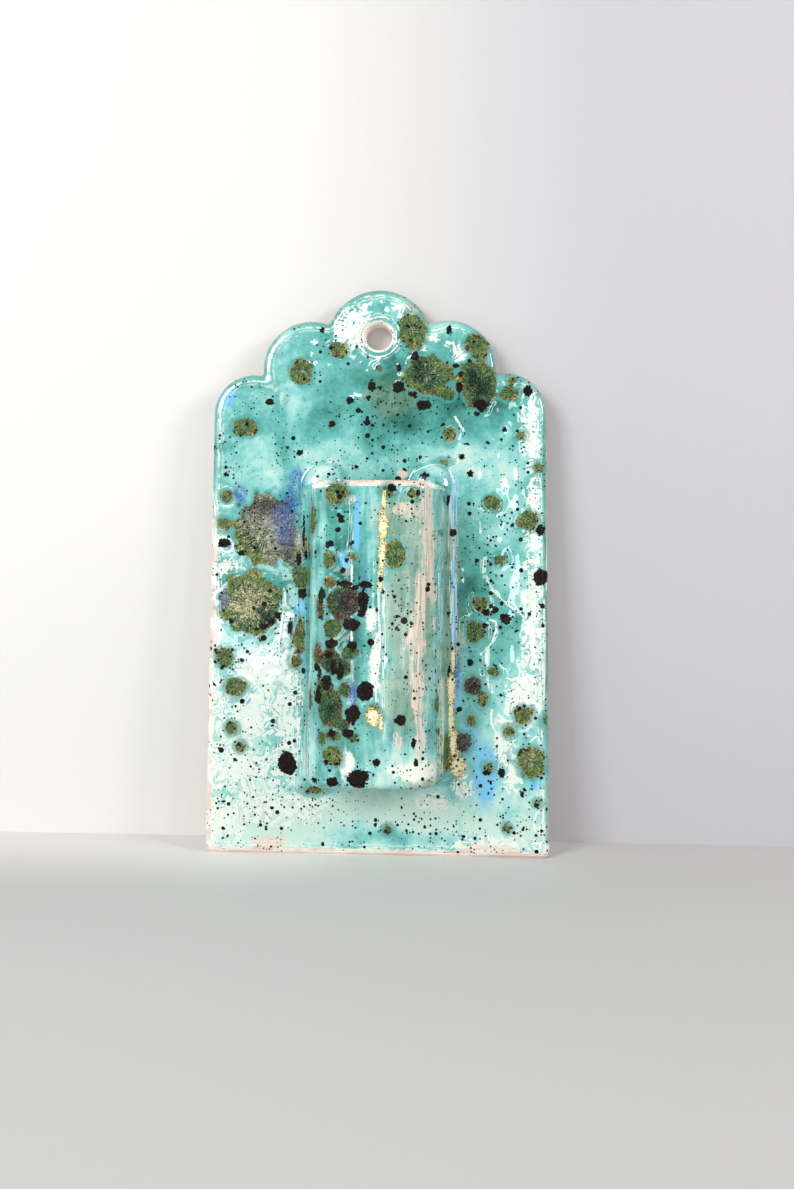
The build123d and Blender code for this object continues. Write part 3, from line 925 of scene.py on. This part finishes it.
def glaze_material():
    """Glossy turquoise glaze in layers, with its blooms, spots and patches from the piece's own fields."""
    paint = Paint("glaze")
    add, times, most, scaled, centred = paint.add, paint.times, paint.most, paint.scaled, paint.centred
    noise, field, patch = paint.noise, paint.field, paint.patch
    ramp, mix, colours = paint.ramp, paint.mix, paint.colours
    cloud = noise(16.0, 3.0, 0.55, 0.5)
    mottle = noise(2.8, 3.0, 0.55, 0.8, 11.0)
    fleck = noise(2.0, 3.0, 0.65, 0.4, 1.0)
    grain = noise(0.6, 2.0, 0.75, 0.5, 9.0)
    streak = noise((3.0, 4.0, 22.0), 3.0, 0.6, 0.5, 7.0)
    hair = noise((0.5, 0.8, 9.0), 2.0, 0.6, 0.3, 8.0)
    runny = field("runny")

    # Turquoise of every depth, with sage clouds
    shade = add(scaled(field("tone"), 0.34, 0.56), centred(cloud, 0.95), centred(mottle, 0.34))
    shade = add(shade, scaled(field("seam"), -0.16, times(centred(streak, 0.7), runny)))
    sage = patch("sage", centred(cloud, 0.8), 0.25, 0.75)
    colour = mix(sage, colours(shade, TURQUOISES), colours(shade, SAGES))

    # Milky patches that partly paint window reflections, blue patches that paint the sky's reflection, pink
    # patches, and combed white hairs that partly paint highlight lines
    torn = add(times(centred(streak, 1.3), runny), centred(mottle, 1.1))
    flow = paint.math("SINE", times(noise(8.0, 2.0, 0.5, 1.0, 21.0), 42.0))
    flow = times(flow, ramp(field("milk"), 0.04, 0.4, 0.0, 0.46), scaled(runny, -1.0, 1.1))
    broken = scaled(torn, 0.7, centred(cloud, 0.8))
    # Milky glaze, partly painted window reflections
    milk = patch("milk", add(flow, broken), 0.33, 0.68)
    colour = mix(times(milk, 0.92), colour, CREAM)
    # Painted reflection of the sky, in blue
    colour = mix(patch("sky", times(torn, 0.5), 0.32, 0.74), colour, SKY_REFLECTION)
    combed = most(scaled(runny, -1.0, 1.0), ramp(hair, 0.38, 0.55, 0.15, 1.0))
    blush = times(patch("blush", torn, 0.34, 0.66), combed)
    colour = mix(blush, colour, BLUSH)
    # White hairs in the glaze, partly painted highlight lines
    hair_highlights = times(patch("hairy", 0.0, 0.2, 0.7), ramp(hair, 0.50, 0.60, 0.0, 0.85))
    colour = mix(hair_highlights, colour, CREAM)

    # Painted shade in a green band on the plaque's border, painted highlight lines along it, and the painted
    # highlight threads
    border = field("border")
    wander = add(border, centred(cloud, 4.0))
    # Painted shade: a darker green band on the rounded border
    colour = mix(ramp(border, -2.4, -1.0, 0.0, 0.45), colour, FERN)
    # Painted highlight lines along the border and round the hole
    for reach, strength in BORDER_HIGHLIGHTS:
        line = ramp(paint.math("ABSOLUTE", add(wander, reach)), 0.42, 0.16)
        colour = mix(times(line, ramp(mottle, 0.40, 0.55, 0.1, strength)), colour, CREAM)
    # Painted highlight lines and rings
    thread = add(field("thread"), centred(mottle, 0.5))
    colour = mix(ramp(thread, 0.45, 0.72, 0.0, 0.9), colour, CREAM)

    # Edges where the clay shows through, partly pink on the lower body
    pink = times(ramp(noise(7.0, 2.0, 0.5, 0.0, 3.0), 0.42, 0.60), field("low"))
    thin = add(field("thin"), centred(mottle, 0.6))
    colour = mix(ramp(thin, 0.25, 0.8), colour, mix(pink, CREAM, BLUSH))

    # Crystal blooms, some metallic, in a ring of deeper glaze
    fibre = noise(1.0, 2.0, 0.7, 0.2, 0.0, field("spokes", "Vector"))
    ragged = centred(noise(1.1, 4.0, 0.7, 0.4, 5.0), 2.6)
    ragged = add(ragged, centred(fleck, 1.4), centred(fibre, 1.8))
    bloom = add(field("bloom"), ragged)
    lit = add(bloom, centred(noise(6.0, 1.0, 0.5, 0.3, 13.0), 6.0))
    colour = mix(times(ramp(field("bloom"), -2.0, -0.6), 0.75), colour, TEAL)
    tone = scaled(field("crust_tone"), 0.18, 0.5)
    tone = add(tone, centred(grain, 0.85), centred(fleck, 0.45))
    fanned = add(tone, centred(fibre, 0.8))
    edge, ring, middle = (colours(fanned, stops) for stops in BLOOMS)
    crust = mix(ramp(lit, 0.2, 1.8), edge, ring)
    crust = mix(ramp(bloom, 1.8, 5.0), crust, middle)
    clot = times(ramp(lit, 2.2, 0.4), ramp(fleck, 0.54, 0.58))
    crust = mix(clot, crust, mix(ramp(grain, 0.44, 0.56), INK, UMBER))
    metal = add(centred(fleck, 0.9), centred(grain, 0.6))
    crust = mix(patch("metal", metal, 0.15, 0.85), crust, colours(tone, METALS))
    bloom = ramp(bloom, -0.25, 0.35)
    colour = mix(bloom, colour, crust)

    # Blue lustre, strongest where the crust is dark, and golden crust strips that paint the reflection of a
    # warm light
    blue = patch("lustre", centred(fleck, 0.7), 0.15, 0.8)
    colour = mix(times(blue, ramp(tone, 0.35, 0.65, 0.95, 0.2)), colour, ULTRAMARINE)
    depth = add(field("gold"), centred(fleck, 1.3), centred(grain, 0.5))
    gold = ramp(depth, 0.34, 0.44)
    colour = mix(gold, colour, colours(add(scaled(depth, 0.6, 0.14), centred(grain, 1.2)), GOLDS))

    # Black clots and specks
    spot = add(field("spot"), add(centred(noise(1.2, 3.0, 0.65, 0.3, 4.0), 2.6), -0.1))
    crowd = ramp(noise(14.0, 1.0, 0.5, 0.0, 6.0), 0.35, 0.62, 0.6, 1.15)
    for spacing, largest, power, seed in SPECKS:
        spot = most(spot, paint.specks(spacing, largest, power, seed, crowd))
    ink = ramp(spot, -0.03, 0.08)
    colour = mix(ink, colour, mix(ramp(grain, 0.54, 0.66), INK, UMBER))

    # Crusts and satin places are rougher and less glassy, and crusts and spots stand out
    crust = most(bloom, gold)
    crystals = times(crust, grain)
    satin = times(most(blush, times(sage, runny)), 0.75)
    paint.bump(crystals, 0.22)
    paint.bump(ramp(spot, -0.9, 0.3), 0.05)
    rough = scaled(satin, 0.30, scaled(ink, 0.22, scaled(crystals, 0.9, 0.12)))
    glassy = scaled(most(satin, most(crust, ink)), -0.96, 1.0)
    paint.feed(paint.shader.inputs["Coat Weight"], glassy)
    for socket, value in (("Specular IOR Level", 0.12), ("Coat IOR", 1.7), ("Coat Roughness", 0.03)):
        paint.shader.inputs[socket].default_value = value
    return paint.finish(colour, rough)


def lining_material():
    """The plainer glaze inside the pocket."""
    paint = Paint("lining")
    paint.shader.inputs["IOR"].default_value = 1.5
    streak = paint.noise((3.0, 3.0, 20.0), 3.0, 0.6, 0.5, 7.0)
    shade = paint.scaled(paint.noise(9.0, 3.0, 0.55, 0.6), 0.7, paint.times(streak, 0.4))
    speck = paint.ramp(paint.specks(2.0, 0.9, 5.0, 2.0), -0.02, 0.05)
    colour = paint.mix(speck, paint.colours(shade, TURQUOISES), INK)
    return paint.finish(colour, paint.ramp(streak, 0.3, 0.7, 0.08, 0.16))


def clay_material():
    """Bare fired clay: matt, nearly white, with fine grains and faint smears of glaze."""
    paint = Paint("bare_clay")
    broad = paint.noise(22.0, 4.0, 0.6, 0.3)
    grain = paint.noise(0.5, 3.0, 0.7, 0.0, 2.0)
    smear = paint.ramp(paint.noise((9.0, 9.0, 14.0), 4.0, 0.6, 0.8, 8.0), 0.63, 0.72)
    colour = paint.mix(paint.times(smear, 0.35), paint.colours(broad, CLAYS), SOFT)
    speck = paint.ramp(paint.specks(4.0, 0.5, 3.0, 5.0), -0.02, 0.06)
    colour = paint.mix(paint.times(speck, 0.7), colour, UMBER)
    paint.bump(grain, 0.12)
    paint.bump(broad, 0.5)
    return paint.finish(colour, paint.ramp(grain, 0.3, 0.7, 0.62, 0.82))


# Stage and light

WALL_GAP = 1.0
WALL_LEAN = 0.0857
# Painted light on the stage: each pair holds the lit left colour and the shaded right one, and the floor is
# lighter by the wall than near the camera
WALL_COLOUR = srgb(223, 223, 218)
WALL_SHADE = srgb(190, 190, 196)
FLOOR_FAR = (srgb(238, 236, 232), srgb(196, 195, 196))
FLOOR_NEAR = (srgb(198, 198, 198), srgb(194, 194, 194))
STAGE_REACH = 4000
STAGE_TALL = 1500
# Where the stage's painted light starts and ends to change: from lit to shaded along X, and along Y from the
# floor by the wall to the floor near the camera
LIT_SIDE, SHADED_SIDE = -70.0, 110.0
SWEEP_FAR, SWEEP_NEAR = 20.0, -62.0


def stage_sheet(name, corners, far, near, one_sided):
    """A pale plane, given its left and right colours far from the camera and near it.

    A one-sided one shows only to the camera and in gloss and glass, and only from its front.
    """
    mesh = bpy.data.meshes.new(name)
    mesh.from_pydata([Vector(c) * MM for c in corners], [], [(0, 1, 2, 3)])
    sheet = add_object(name, mesh)
    paint = Paint(name)
    place = paint.node("SeparateXYZ", paint.place)
    cloudy = paint.centred(paint.noise(300.0, 2.0, 0.5), 0.2)
    # Painted light: lighter to the left, and on the floor lighter by the wall
    to_right = paint.add(paint.ramp(place.outputs[0], LIT_SIDE, SHADED_SIDE), cloudy)
    to_near = paint.ramp(place.outputs[1], SWEEP_FAR, SWEEP_NEAR)
    paint.finish(paint.mix(to_near, paint.mix(to_right, *far), paint.mix(to_right, *near)), 0.9)
    paint.shader.inputs["Specular IOR Level"].default_value = 0.1
    if one_sided:
        path = paint.node("LightPath")
        front = paint.math("SUBTRACT", 1.0, paint.node("NewGeometry").outputs["Backfacing"])
        seen = paint.most(path.outputs["Is Camera Ray"], path.outputs["Is Glossy Ray"])
        seen = paint.most(seen, path.outputs["Is Transmission Ray"])
        clear = paint.node("BsdfTransparent").outputs[0]
        blend = paint.node("MixShader", paint.times(front, seen), clear, paint.shader.outputs[0])
        paint.links.new(blend.outputs[0], paint.nodes["Material Output"].inputs["Surface"])
    mesh.materials.append(paint.material)
    sheet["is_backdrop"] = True


def make_stage():
    """A floor under the foot, and a wall that the plaque's top rests on."""
    wide, deep = STAGE_REACH, STAGE_REACH
    foot_y = WALL_GAP + (PLATE_TOP - FOOT) * WALL_LEAN
    tall_y = WALL_GAP - (STAGE_TALL - PLATE_TOP) * WALL_LEAN
    floor = ((-wide, -deep, FOOT), (wide, -deep, FOOT), (wide, deep, FOOT), (-wide, deep, FOOT))
    top = ((wide, tall_y, STAGE_TALL), (-wide, tall_y, STAGE_TALL))
    wall = ((-wide, foot_y, FOOT), (wide, foot_y, FOOT), *top)
    stage_sheet("floor", floor, FLOOR_FAR, FLOOR_NEAR, False)
    stage_sheet("wall", wall, (WALL_COLOUR, WALL_SHADE), (WALL_COLOUR, WALL_SHADE), True)


# Name, place, aim, width and height in millimetres, then watts and colour
LAMPS = (
    ("window_left", (-225, -907, -135), (-60, 0, -150), (130, 130), 0.20, (1.0, 0.99, 0.96)),
    ("window_frame", (-1, -907, -90), (5, -33, -90), (10, 220), 0.06, (1.0, 0.92, 0.72)),
    ("window_right", (136, -907, -30), (50, 0, -60), (36, 340), 0.26, (1.0, 0.99, 0.96)),
    ("window_high", (-105, -907, 250), (0, 0, 0), (60, 70), 0.16, (1.0, 1.0, 0.98)),
    ("strip_right", (480, -640, -60), (60, 0, -80), (40, 420), 0.50, (1.0, 1.0, 1.0)),
    ("key_left", (-560, -800, 330), (0, 0, -100), (400, 400), 6.4, (0.99, 0.99, 1.0)),
    ("fill_left", (-600, -420, 60), (0, 0, -100), (450, 500), 1.1, (0.98, 0.99, 1.0)),
    ("key_right", (640, -420, 200), (0, 0, -100), (180, 220), 2.6, (1.0, 0.95, 0.90)),
)
# The room's own light, at the horizon and below it, and overhead
ROOM_LOW, ROOM_HIGH = 0.10, 0.64


def lamp(name, place, aim, size, watts, colour):
    """A soft rectangular lamp."""
    data = bpy.data.lights.new(name, "AREA")
    data.shape = "RECTANGLE"
    data.size, data.size_y = size[0] * MM, size[1] * MM
    data.energy = watts
    data.color = colour
    light = add_object(name, data)
    turn = (Vector(aim) - Vector(place)).to_track_quat("-Z", "Y")
    light.matrix_world = Matrix.Translation(Vector(place) * MM) @ turn.to_matrix().to_4x4()


def make_lights():
    """The lamps, and a room that is brighter overhead and white to the camera."""
    for each in LAMPS:
        lamp(*each)
    world = bpy.data.worlds.new("room")
    bpy.context.scene.world = world
    room = Nodes(world)
    way = room.node("SeparateXYZ", room.node("TexCoord").outputs["Generated"])
    overhead = room.ramp(way.outputs["Z"], 0.0, 0.9, ROOM_LOW, ROOM_HIGH)
    seen = room.node("LightPath").outputs["Is Camera Ray"]
    light = room.nodes["Background"]
    room.links.new(room.most(seen, overhead), light.inputs["Strength"])
    light.inputs["Color"].default_value = (1.0, 0.99, 0.98, 1)


# The scene

CLAY_NODES = (
    "back_plate", "pocket_wall", "pocket_floor", "floor_coil",
    "seam_coil_base", "seam_coil_left", "seam_coil_right",
)

make_camera()
clay = clay_material()
for node in CLAY_NODES:
    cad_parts[node].data.materials.clear()
    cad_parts[node].data.materials.append(clay)
make_skins(glaze_material(), lining_material())
make_stage()
make_lights()
bpy.context.scene.view_settings.view_transform = "Standard"

boxes = {"cad": cad_box, "visual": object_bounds()}
{name: [list(corner) for corner in box] for name, box in boxes.items()}
